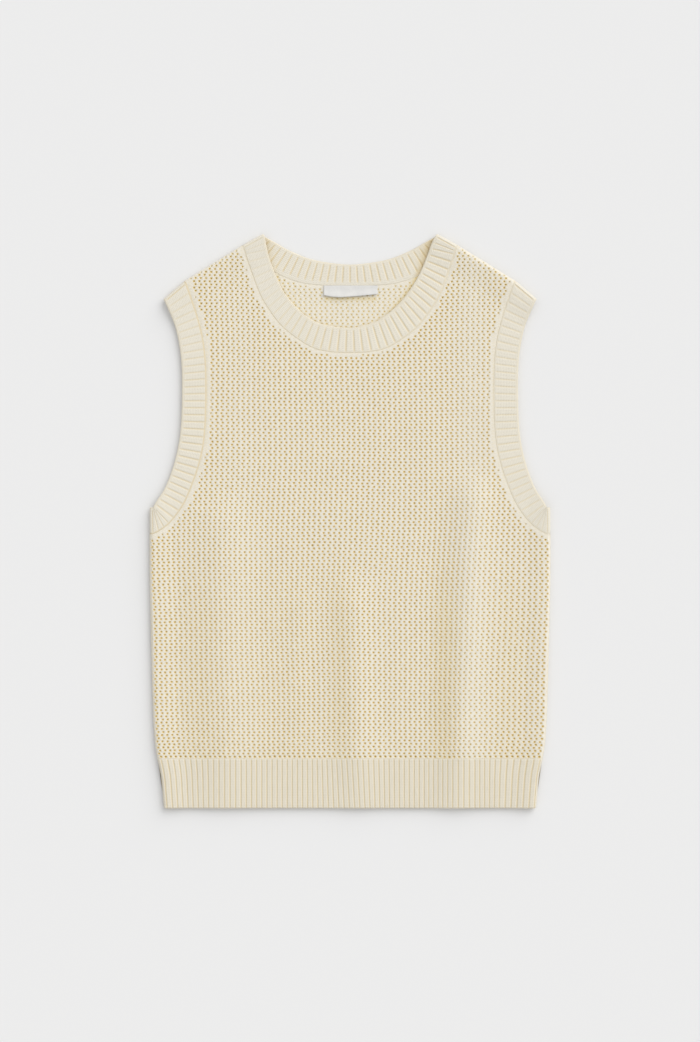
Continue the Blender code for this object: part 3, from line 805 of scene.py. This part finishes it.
class Ring:
    """A band that goes round: along the front, over a fold, along the back and over the other fold."""

    def __init__(self):
        self.runs, self.ribs = [], 0

    def add(self, place_at, ribs, turns, way, show=((0, 1), (1, 1)), shade=((0, 1), (0, 0))):
        """A run of ribs. place_at gives the plan at shares of the run, and turns its angle at both ends.

        show is how much of the ribs there is along the run, and shade how much painted shade darkens the
        inner face.
        """
        share, rise, depth, wale = rib_columns(ribs)
        shown = np.interp(share, *show)
        turn = np.radians(turns[0] + (turns[1] - turns[0]) * share)
        ways = np.tile(way, (len(share), 1))
        shaded = np.interp(share, *shade)
        wale = wale + 2 * self.ribs
        self.runs.append((place_at(share), ways, turn, rise * shown, depth * shown, shaded, wale))
        self.ribs += ribs

    def cloth(self, sections, width, shading=None):
        """The band's surface. shading gives the painted shadow on the inner face by its plan."""
        base, *columns = map(np.concatenate, zip(*self.runs))
        way, turn, relief, deep, shade, wale = (column[:, None] for column in columns)
        rows = np.array([row[1:] for row in sections])
        inner = rows[:, 0] < -WALL + 0.01
        lift = rows[:, 0] + rows[:, 1] * relief * np.where(inner, INNER_RELIEF, 1.0)
        radius = FOLD + lift
        below = (1 - np.sin(turn)) / 2
        radius = radius - pressed(lift) * below * ~inner
        plan = base + way * (radius * np.cos(turn))[..., None]
        on_front = front_height(base[..., 0], base[..., 1]) + WALL + lift
        height = np.where(turn > ON_FRONT, on_front, FOLD + radius * np.sin(turn))
        places = np.dstack([plan, height])
        share = section_shares(sections, width)
        knit = np.empty_like(places)
        knit[..., 0] = wale
        knit[..., 1] = share * width / RIB_COURSE
        knit[..., 2] = np.maximum(rows[:, 2], deep * rows[:, 1]) + shade * inner
        if shading:
            knit[..., 2] += shading(plan.reshape(-1, 2)).reshape(places.shape[:2]) * inner
        flat = np.empty((*places.shape[:2], 2))
        flat[..., 0] = wale * WALE_WIDTH
        flat[..., 1] = share * width * np.where(np.arange(len(rows)) < len(OUTER_SECTION) + 3, 1, -1)
        return grid_cloth(places, knit, flat, True, False)


def between(edge, seam, width, sections, hand, lean):
    """The places of a band's rows between its edge and its seam, for shares along its run."""
    v = section_shares(sections, width)[None, :, None]
    runs, on_edge, on_seam = lean

    def place_at(along):
        foot = at(edge, np.interp(along, runs, on_edge))[:, None]
        made = foot * (1 - v) + at(seam, np.interp(along, runs, on_seam))[:, None] * v
        return made * (hand, 1)

    return place_at


def armband(hand):
    seam = [(*row[:3], row[3] * ARM_SEAM_SHADE[hand]) for row in ARM_SEAM_ROWS]
    sections = OUTER_SECTION + seam + INNER_SECTION
    place_at = between(ARM_EDGE, ARM_SEAM, ARMBAND, sections, hand, ARM_LEAN)
    ring = Ring()
    ring.add(place_at, ARM_RIBS, (90, 90), (0, 0), ARM_SHOW[hand])
    ring.add(lambda s: place_at(np.ones_like(s)), FOLD_RIBS, (90, -90), OUT * (hand, 1))
    ring.add(lambda s: place_at(1 - s), ARM_RIBS, (-90, -90), (0, 0))
    ring.add(lambda s: place_at(np.zeros_like(s)), FOLD_RIBS, (-90, 90), (hand, 0))
    return ring.cloth(sections, ARMBAND)


def neckband():
    sections = OUTER_SECTION + NECK_SEAM_ROWS + INNER_RIBBED

    def both(edges, seam, lean):
        low, high = (between(edges[hand], seam, MEAN_NECKBAND, sections, hand, lean) for hand in (-1, 1))

        def whole(share):
            along = np.abs(share - 0.5) * 2
            return np.where((share < 0.5)[:, None, None], low(along), high(along))

        return whole

    front = both(FRONT_EDGES, FRONT_SEAM, FRONT_NECK_LEAN)
    back = both({-1: BACK_EDGE, 1: BACK_EDGE}, BACK_SEAM, BACK_NECK_LEAN)
    front_ribs = round(sum(lengths(edge)[-1] for edge in FRONT_EDGES.values()) / NECK_RIB)
    back_ribs = round(2 * lengths(BACK_EDGE)[-1] / NECK_RIB)
    ring = Ring()
    ring.add(front, front_ribs, (90, 90), (0, 0), NECK_SHOW, FRONT_INSIDE_SHADE)
    ring.add(lambda s: front(np.ones_like(s)), FOLD_RIBS, (90, -90), OUT, shade=FRONT_INSIDE_SHADE)
    ring.add(lambda s: back(1 - s), back_ribs, (-90, -90), (0, 0), shade=NECK_SHADE)
    ring.add(lambda s: front(np.zeros_like(s)), FOLD_RIBS, (-90, 90), OUT * (-1, 1), shade=RIGHT_FOLD_SHADE)
    return ring.cloth(sections, MEAN_NECKBAND, painted_shadow)


HEM_SECTION = [
    (0, -1.1, 0, 0.2), (0.25, -0.45, 0.3, 0.12), (0.9, -0.05, 0.8, 0.05),
    *[(mm, 0, 1, 0) for mm in (2, 5, *range(8, 45, 4), 47.5, -2.4)],
    (-1.5, 0, 0.85, 0), (-0.8, -0.03, 0.5, 0), (-0.05, -0.3, 0.1, 0.08),
]
HEM_INSIDE = [
    (-0.05, -WALL, 0, 0.5), *[(mm, -WALL, 0, 0.3) for mm in (-14, -27, 14)], (1, -WALL, 0, 0.2),
    (0.25, -1.8, 0, 0.2),
]
HEM_RIBS = 73
HEM_MIDDLE = 27.0
HEM_LEAN = 3.0  # how far the front's ribs lean near the middle
HEM_LEAN_REACH = 32.0
HEM_TAPER = (0.71, 0.29)  # the band narrows to its foot from this share of its half width, over the rest
SCALLOP = 0.35  # how far down the foot's edge goes with the ribs
SCALLOP_REACH = 1.5
# Where the front's ribs lie at half the band's height: (ribs from the wearer's right, out from the centre).
HEM_PLACES = np.array([
    (0, -203.6), (1, -197.7), (2, -191.5), (10, -146.1), (15, -116.6), (21, -83.5), (31, -29.5),
    (35, -7.8), (41, 25.8), (51, 79.2), (55, 98.9), (57, 109.6), (61, 133.4), (63, 143.7), (65, 154.5),
    (66, 160.0), (71, 192.9), (72, 199.1), (73, 203.6),
])


def hem_band(drape):
    sections = HEM_SECTION + HEM_INSIDE
    share, relief, deep, wale = rib_columns(HEM_RIBS)
    share, wale = np.append(share, 1.0), np.append(wale, 2 * HEM_RIBS - 0.5)
    relief, deep = np.append(relief, RIB_RISE[0]), np.append(deep, RIB_DEPTH[0])
    up = section_shares(sections, HEM_BAND) * HEM_BAND
    along = 2 * share[:, None] - 1 + 0 * up
    whole = half_width(HEM_MIDDLE) - FOLD + FLAT_FOLD
    if drape is drape_front:
        along = np.interp(share * HEM_RIBS, *HEM_PLACES.T)[:, None] / whole + 0 * up
        beside = np.exp(-((along * whole / HEM_LEAN_REACH) ** 2))
        along = along + HEM_LEAN / whole * beside * (0.5 - up / HEM_BAND)
    narrow = whole - half_width(up) + FOLD - FLAT_FOLD
    out = along * whole
    taper_from, taper = HEM_TAPER
    out = out - np.sign(out) * narrow * np.clip((np.abs(out) / whole - taper_from) / taper, 0.0, 1.0)
    rows = np.array([row[1:] for row in sections])
    scallop = SCALLOP * np.clip(relief, -0.5, 0.5)[:, None] * np.exp(-up / SCALLOP_REACH)
    flat = np.stack([out, np.broadcast_to(up, out.shape) - scallop], axis=-1)
    lift = rows[:, 0] + rows[:, 1] * relief[:, None]
    places = drape(flat.reshape(-1, 2), lift.ravel()).reshape(*flat.shape[:2], 3)
    knit = np.empty_like(places)
    knit[..., 0] = wale[:, None]
    knit[..., 1] = up / RIB_COURSE
    knit[..., 2] = np.maximum(rows[:, 2], deep[:, None] * rows[:, 1])
    spread = flat.copy()
    spread[:, len(HEM_SECTION) :, 1] *= -1
    return grid_cloth(places, knit, spread, False, True)


# Materials.


def node(tree, kind, inputs=(), **settings):
    made = tree.nodes.new("ShaderNode" + kind)
    for key, value in settings.items():
        setattr(made, key, value)
    for socket, value in dict(inputs).items():
        if isinstance(value, bpy.types.NodeSocket):
            tree.links.new(value, made.inputs[socket])
        else:
            made.inputs[socket].default_value = value
    return made


def math_node(tree, operation, *values):
    return node(tree, "Math", dict(enumerate(values)), operation=operation).outputs[0]


def wave(tree, value, turns=1):
    """A sine of the value, which makes this many turns for each unit of it."""
    return math_node(tree, "SINE", math_node(tree, "MULTIPLY", value, 2 * math.pi * turns))


def noise(tree, place, scale, detail):
    return node(tree, "TexNoise", {"Vector": place, "Scale": scale, "Detail": detail}).outputs["Fac"]


def bump(tree, shader, height, distance, strength):
    made = node(tree, "Bump", {"Height": height, "Distance": distance, "Strength": strength})
    tree.links.new(made.outputs[0], shader.inputs["Normal"])


def new_material(name, roughness, specular=0.25, sheen=0.0):
    made = bpy.data.materials.new(name)
    made.use_nodes = True
    shader = made.node_tree.nodes["Principled BSDF"]
    shader.inputs["Roughness"].default_value = roughness
    shader.inputs["Specular IOR Level"].default_value = specular
    if sheen:
        shader.inputs["Sheen Weight"].default_value = sheen
        shader.inputs["Sheen Roughness"].default_value = 0.6
    return made, made.node_tree, shader


def ramp(tree, value, stops):
    made = node(tree, "ValToRGB", {0: value})
    elements = made.color_ramp.elements
    elements[0].position, elements[0].color = stops[0][0], (*stops[0][1], 1)
    elements[1].position, elements[1].color = stops[-1][0], (*stops[-1][1], 1)
    for position, colour in stops[1:-1]:
        elements.new(position).color = (*colour, 1)
    return made.outputs[0]


# The yarn's bump, in metres at a height of 1, and the heights of what makes it up.
YARN_BUMP = 0.00016
LEG_RISE, TWIST_RISE, FUZZ_RISE = 0.5, 0.2, 0.9
TWIST_SLANT = 2.2
# The unevenness of its colour: what it multiplies the colour by, at least, and what comes on top.
LEAST_SHADE = 0.97
# LEG_SHADE is painted shade: the colour is darker between the stitches' legs, where their bump is low.
PATCH_SHADE, SLUB_SHADE, LEG_SHADE = 0.03, 0.035, 0.022
# Noise: (scale, detail).
FUZZ, PATCHES, SLUBS = (2600.0, 3.0), (38.0, 3.0), (420.0, 2.0)


def yarn_material(name, stops, courses, lean, plies):
    """Cotton yarn. The knit attribute holds wale, course and depth; the depth paints shade, darker and more
    ochre the deeper a place lies.

    courses is how many stitches there are in a course and lean how far their legs slant from the middle of
    a wale to its sides. plies is how often the yarn's twist shows in a course.
    """
    made, tree, shader = new_material(name, roughness=0.86, sheen=0.12)
    marks = node(tree, "Attribute", attribute_name="knit")
    wale, course, depth = node(tree, "SeparateXYZ", {0: marks.outputs["Vector"]}).outputs
    place = node(tree, "TexCoord").outputs["Object"]
    aside = math_node(tree, "FRACT", math_node(tree, "ADD", wale, 0.5))
    aside = math_node(tree, "ABSOLUTE", math_node(tree, "SUBTRACT", aside, 0.5))
    leg = math_node(tree, "MULTIPLY_ADD", aside, lean, math_node(tree, "MULTIPLY", course, courses))
    legs = wave(tree, leg)
    twist = math_node(tree, "MULTIPLY", course, plies)
    twist = math_node(tree, "MULTIPLY_ADD", aside, -plies * TWIST_SLANT, twist)
    height = math_node(tree, "MULTIPLY", legs, LEG_RISE)
    height = math_node(tree, "MULTIPLY_ADD", wave(tree, twist), TWIST_RISE, height)
    height = math_node(tree, "MULTIPLY_ADD", noise(tree, place, *FUZZ), FUZZ_RISE, height)
    bump(tree, shader, height, YARN_BUMP, 0.9)
    tone = ramp(tree, depth, stops)
    shade = LEAST_SHADE
    for value, amount in (
        (noise(tree, place, *PATCHES), PATCH_SHADE),
        (noise(tree, place, *SLUBS), SLUB_SHADE),
        (legs, LEG_SHADE),
    ):
        shade = math_node(tree, "MULTIPLY_ADD", value, amount, shade)
    mix = node(tree, "Mix", {"Factor": 1.0, "A": tone, "B": shade}, data_type="RGBA", blend_type="MULTIPLY")
    tree.links.new(mix.outputs["Result"], shader.inputs["Base Color"])
    return made


# Colours by depth, from the yarn's crest to the bottom of a hole or of the groove between ribs: painted
# shade, from the yarn's cream to ochre deep down.
MESH_STOPS = [
    (0.0, (0.83, 0.786, 0.692)), (0.12, (0.815, 0.757, 0.63)), (0.42, (0.81, 0.69, 0.42)),
    (0.7, (0.785, 0.59, 0.23)), (1.0, (0.755, 0.52, 0.145)),
]
HEM_STOPS = [
    (0.0, (0.768, 0.715, 0.6)), (0.15, (0.748, 0.678, 0.53)),
    (0.5, (0.71, 0.605, 0.40)), (1.0, (0.6, 0.46, 0.25)),
]
RIB_STOPS = [
    (0.0, (0.79, 0.745, 0.64)), (0.15, (0.77, 0.708, 0.572)),
    (0.5, (0.735, 0.63, 0.43)), (1.0, (0.62, 0.49, 0.28)),
]

LABEL_THREADS = (0.00042, 0.00036)  # from thread to thread across and up, in metres
LABEL_STOPS = [(0.3, (0.675, 0.67, 0.65)), (0.7, (0.73, 0.72, 0.695))]


def label_material():
    made, tree, shader = new_material("woven_label", roughness=0.6, sheen=0.1)
    place = node(tree, "TexCoord").outputs["Object"]
    x, y, _ = node(tree, "SeparateXYZ", {0: place}).outputs
    threads = [wave(tree, value, 1 / pitch) for value, pitch in zip((x, y), LABEL_THREADS)]
    bump(tree, shader, math_node(tree, "MULTIPLY", *threads), 0.00003, 0.6)
    tone = ramp(tree, noise(tree, place, 160.0, 2.0), LABEL_STOPS)
    tree.links.new(tone, shader.inputs["Base Color"])
    return made


# The pieces.

ROOT = "root"


def declare(piece, cad_node, flat, area):
    """Attaches a piece to the root and hides the part that it replaces. Its flat measures and area are not
    used.
    """
    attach(piece, ROOT)
    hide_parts(cad_node)
    width, length = flat


def cut_between(outline, low, high):
    """The flat width, length and area of an outline's part between two heights."""
    ups = np.linspace(low, high, 400)
    spans = []
    for up in (ups[:-1] + ups[1:]) / 2:
        crossings = sorted(
            a[0] + (up - a[1]) * (b[0] - a[0]) / (b[1] - a[1])
            for a, b in zip(outline, outline[1:])
            if (a[1] > up) != (b[1] > up)
        )
        spans.append(sum(b - a for a, b in zip(crossings[::2], crossings[1::2])))
    near = (outline[:, 1] >= low - 1) & (outline[:, 1] <= high + 1)
    reach = 2 * outline[near, 0].max()
    return (max(*spans, reach), high - low), np.mean(spans) * (high - low)


def height_of_row(row):
    return HEM_BAND + FIRST_ROW + row * ROW


FRONT_CUTS = (41.5, 82.5)  # the row numbers that part a panel's pieces
BACK_CUTS = (66.5,)


def make_panel(cloth, edges, names, cuts, cad_node, material, turn_over=False):
    outline = outline_of(edges)
    levels = [HEM_BAND, *map(height_of_row, cuts), outline[:, 1].max()]
    pieces = make_cloth(cloth, names, material, cuts, turn_over)
    for piece, low, high in zip(pieces, levels, levels[1:]):
        flat, area = cut_between(outline, low, high)
        declare(piece, cad_node, flat, area)


def make_panels(material):
    edges = panel_edges(FRONT_SEAM, FRONT_NECK_ROOMS)
    cloth = knit_panel(edges, drape_front, 11)
    names = ["front_lower", "front_middle", "front_upper"]
    make_panel(cloth, edges, names, FRONT_CUTS, "front_panel", material)

    edges = panel_edges(BACK_SEAM, BACK_NECK_ROOMS)
    cloth = knit_panel(edges, drape_back, 12, through=False, hole=0.92, deep=0.68)
    names = ["back_lower", "back_upper"]
    make_panel(cloth, edges, names, BACK_CUTS, "back_panel", material, turn_over=True)
    return edges


YOKE = [(0, 496), (45, 500), (74, 530), (92, 562), (104, 588)]  # below the part that the neck shows
SHEET_ROWS, SHEET_COLUMNS = 60, 41
SHEET_TOP = 556.0  # the plain sheet's height in the middle, under the back's neckband
SHEET_TOP_HALF = 60.0
SHEET_DROP, YOKE_DROP = 0.15, 1.0  # how far it lies under the knit's face, and so more under the yoke
SHEET_SHADE, YOKE_SHADE_LESS = 0.9, 0.55  # painted shade: how dark its colour is where it lies covered under the front, and so much less under the yoke
SHEET_SHARE = 0.93  # of the back's area, without the folds


def make_back_inside(material, back_edges):
    """The back's inner face: knitted in full where the neck shows it, and plain under the front."""
    region_half = np.vstack([YOKE, BACK_SEAM[::-1]])
    region = np.vstack([region_half, mirrored(region_half), region_half[:1]])
    yoke = knit_panel(back_edges, drape_inside, 13, region=region, hole=0.85, deep=0.8, relief=0.5)
    (piece,) = make_cloth(yoke, ["back_yoke_inside"], material)
    flat, area = cut_between(region, region[:, 1].min(), region[:, 1].max())
    declare(piece, "back_panel", flat, area)

    ups = np.linspace(HEM_BAND, FOLD_TO[1], SHEET_ROWS)
    arm = np.interp(ups, ARM_SEAM[:, 1], ARM_SEAM[:, 0])
    reach = np.where(ups < UNDERARM_SEAM, half_width(ups) - FOLD, arm)
    out = np.linspace(-1, 1, SHEET_COLUMNS)[None] * reach[:, None]
    high = ups[:, None] - SHEET_TOP
    low = high * smooth((np.abs(out) - SHEET_TOP_HALF) / SHEET_TOP_HALF)
    flat = np.stack([out, SHEET_TOP + np.where(high > 0, low, high)], axis=-1)
    seen = inside(flat.reshape(-1, 2), region).reshape(out.shape)
    places = np.dstack([flat, WALL - SHEET_DROP - YOKE_DROP * seen])
    knit = np.dstack([flat / (PITCH, ROW), SHEET_SHADE - YOKE_SHADE_LESS * seen])
    made = Cloth()
    index = made.points(places.reshape(-1, 3), knit.reshape(-1, 3), flat.reshape(-1, 2)).reshape(out.shape)
    made.quads(np.stack([index[:-1, :-1], index[:-1, 1:], index[1:, 1:], index[1:, :-1]], axis=-1))
    (piece,) = make_cloth(made, ["back_inside"], material)
    flat, area = (2 * reach.max(), ups[-1] - ups[0]), area_of(outline_of(back_edges)) * SHEET_SHARE
    declare(piece, "back_panel", flat, area)


# How much wider the hem bands lie at their top than at their foot, and on the whole.
HEM_FLARE, HEM_MEAN_FLARE = 16.0, 7.0


def make_bands(hem_knit, rib_knit):
    foot = HEM + 2 * (FLAT_FOLD - FOLD)
    flat, area = (foot + HEM_FLARE, HEM_BAND), (foot + HEM_MEAN_FLARE) * HEM_BAND
    for side, drape, rests_on in (("front", drape_front, ["hem_back"]), ("back", drape_back, [])):
        (piece,) = make_cloth(hem_band(drape), ["hem_" + side], hem_knit, turn_over=side == "back")
        declare(piece, "hem_band_" + side, flat, area)

    (piece,) = make_cloth(neckband(), ["neck_rib"], rib_knit)
    around = sum(lengths(edge)[-1] for edge in FRONT_EDGES.values()) + 2 * lengths(BACK_EDGE)[-1]
    seam = 2 * lengths(FRONT_SEAM)[-1] + 2 * lengths(BACK_SEAM)[-1]
    ring = (around + seam) / 2 + 4 * FLAT_FOLD
    flat, area = (ring, MEAN_NECKBAND), ring * MEAN_NECKBAND
    declare(piece, "neckband", flat, area)

    ring = lengths(ARM_EDGE)[-1] + lengths(ARM_SEAM)[-1] + 4 * FLAT_FOLD
    for hand, side in ((1, "left"), (-1, "right")):
        (piece,) = make_cloth(armband(hand), ["arm_rib_" + side], rib_knit, turn_over=hand < 0)
        declare(piece, "armband_" + side, (ring, ARMBAND), ring * ARMBAND)


# The label, in plan from its upper edge down.
LABEL_SIDES = (-28.3, 29.6)
LABEL_TOP = LENGTH / 2 + 252.2
LABEL_LENGTH = 10.9
LABEL_FLAT = (12.2, 11.6)  # flat length at the most, and on the whole
LABEL_COLUMNS, LABEL_ROWS = 48, 12
LABEL_LENGTHS = ((0, 0.12, 0.3, 0.6, 1), (10.9, 12.0, 12.9, 11.7, 9.4))  # by share of its width
LABEL_LIFTS = ((0, 0.3, 0.7, 1), (1.0, 1.7, 1.3, 1.6))  # of its lower edge
LABEL_SEWN = 0.25  # share of its length that lies flat
LABEL_BEND = 1.3
LABEL_THICK = 0.45
LABEL_APART = 20  # between its two faces in the UV map


def make_label(material):
    """A bare label, sewn in along its upper edge. Its lower edge lifts a little, more to one side."""
    share = np.linspace(0, 1, LABEL_COLUMNS + 1)[:, None]
    drop = np.linspace(0, 1, LABEL_ROWS + 1)[None]
    length = LABEL_LENGTH + (np.interp(share, *LABEL_LENGTHS) - LABEL_LENGTH) * smooth(share * 8)
    bend = smooth((drop - LABEL_SEWN) / (1 - LABEL_SEWN)) ** LABEL_BEND
    left, right = LABEL_SIDES
    x = left + (right - left) * share + 0 * drop
    y = LABEL_TOP - drop * length
    z = WALL + LABEL_THICK + np.interp(share, *LABEL_LIFTS) * bend
    under, over = (np.dstack([x, y, z + thick]) for thick in (0, LABEL_THICK))
    places = np.concatenate([over, under[:, ::-1]], axis=1)
    flat = places[..., :2].copy()
    flat[:, LABEL_ROWS + 1 :, 1] += LABEL_APART
    cloth = grid_cloth(places, np.zeros_like(places), flat, False, True)
    (piece,) = make_cloth(cloth, ["bare_label"], material)
    most, mean = LABEL_FLAT
    flat, area = (right - left, most), (right - left) * mean
    declare(piece, "neck_label", flat, area)


PHOTO_HEIGHT = 1042  # pixels
PIXEL = 1.07 * MM
LENS, SENSOR = 85.0, 36.0
FLOOR_SIZE = 60
FLOOR_DROP = 0.0003  # under the top, in metres
FLOOR_TONE = 0.8
SKY, SKY_COLOUR = 0.638, (0.985, 0.99, 1.0)
# Soft lights: (name, strength, height and direction in degrees, width in degrees).
LIGHTS = [
    ("softbox", 2.09, 33.0, 48.0, 60.0),
    ("fill", 0.26, 50.0, 228.0, 60.0),
]
LIGHT_COLOUR = (1.0, 0.99, 0.97)


def make_stage():
    """A pale floor, an even sky, a soft light from the upper right and the camera straight above."""
    scene = bpy.context.scene
    scene.view_settings.view_transform = "Standard"
    scene.view_settings.look = "None"
    bpy.ops.mesh.primitive_plane_add(size=FLOOR_SIZE, location=(0, 0, -FLOOR_DROP))
    floor = bpy.context.object
    floor.name = "floor"
    material, _, shader = new_material("floor", roughness=1.0, specular=0.0)
    shader.inputs["Base Color"].default_value = (FLOOR_TONE, FLOOR_TONE, FLOOR_TONE, 1)
    floor.data.materials.append(material)

    world = bpy.data.worlds.new("studio")
    world.use_nodes = True
    background = world.node_tree.nodes["Background"]
    background.inputs["Color"].default_value = (*SKY_COLOUR, 1)
    background.inputs["Strength"].default_value = SKY
    scene.world = world

    for name, strength, height, direction, width in LIGHTS:
        sun = bpy.data.lights.new(name, "SUN")
        sun.energy = strength
        sun.angle = math.radians(width)
        sun.color = LIGHT_COLOUR
        lamp = bpy.data.objects.new(name, sun)
        lamp.rotation_euler = (0, math.radians(90 - height), math.radians(direction))
        scene.collection.objects.link(lamp)

    camera = bpy.data.cameras.new("camera")
    camera.lens = LENS
    camera.sensor_width = SENSOR
    camera.clip_start, camera.clip_end = 0.1, 30.0
    eye = bpy.data.objects.new("camera", camera)
    eye.location = (0, 0, PHOTO_HEIGHT * PIXEL * LENS / SENSOR + 0.005)
    scene.collection.objects.link(eye)
    scene.camera = eye


# (courses, lean, plies)
MESH_YARN = (2.0, 1.4, 6.0)
RIB_YARN = (1.0, 0.9, 3.0)

mesh_knit = yarn_material("mesh_knit", MESH_STOPS, *MESH_YARN)
hem_knit = yarn_material("hem_knit", HEM_STOPS, *RIB_YARN)
rib_knit = yarn_material("rib_knit", RIB_STOPS, *RIB_YARN)
make_back_inside(mesh_knit, make_panels(mesh_knit))
make_bands(hem_knit, rib_knit)
make_label(label_material())
make_stage()
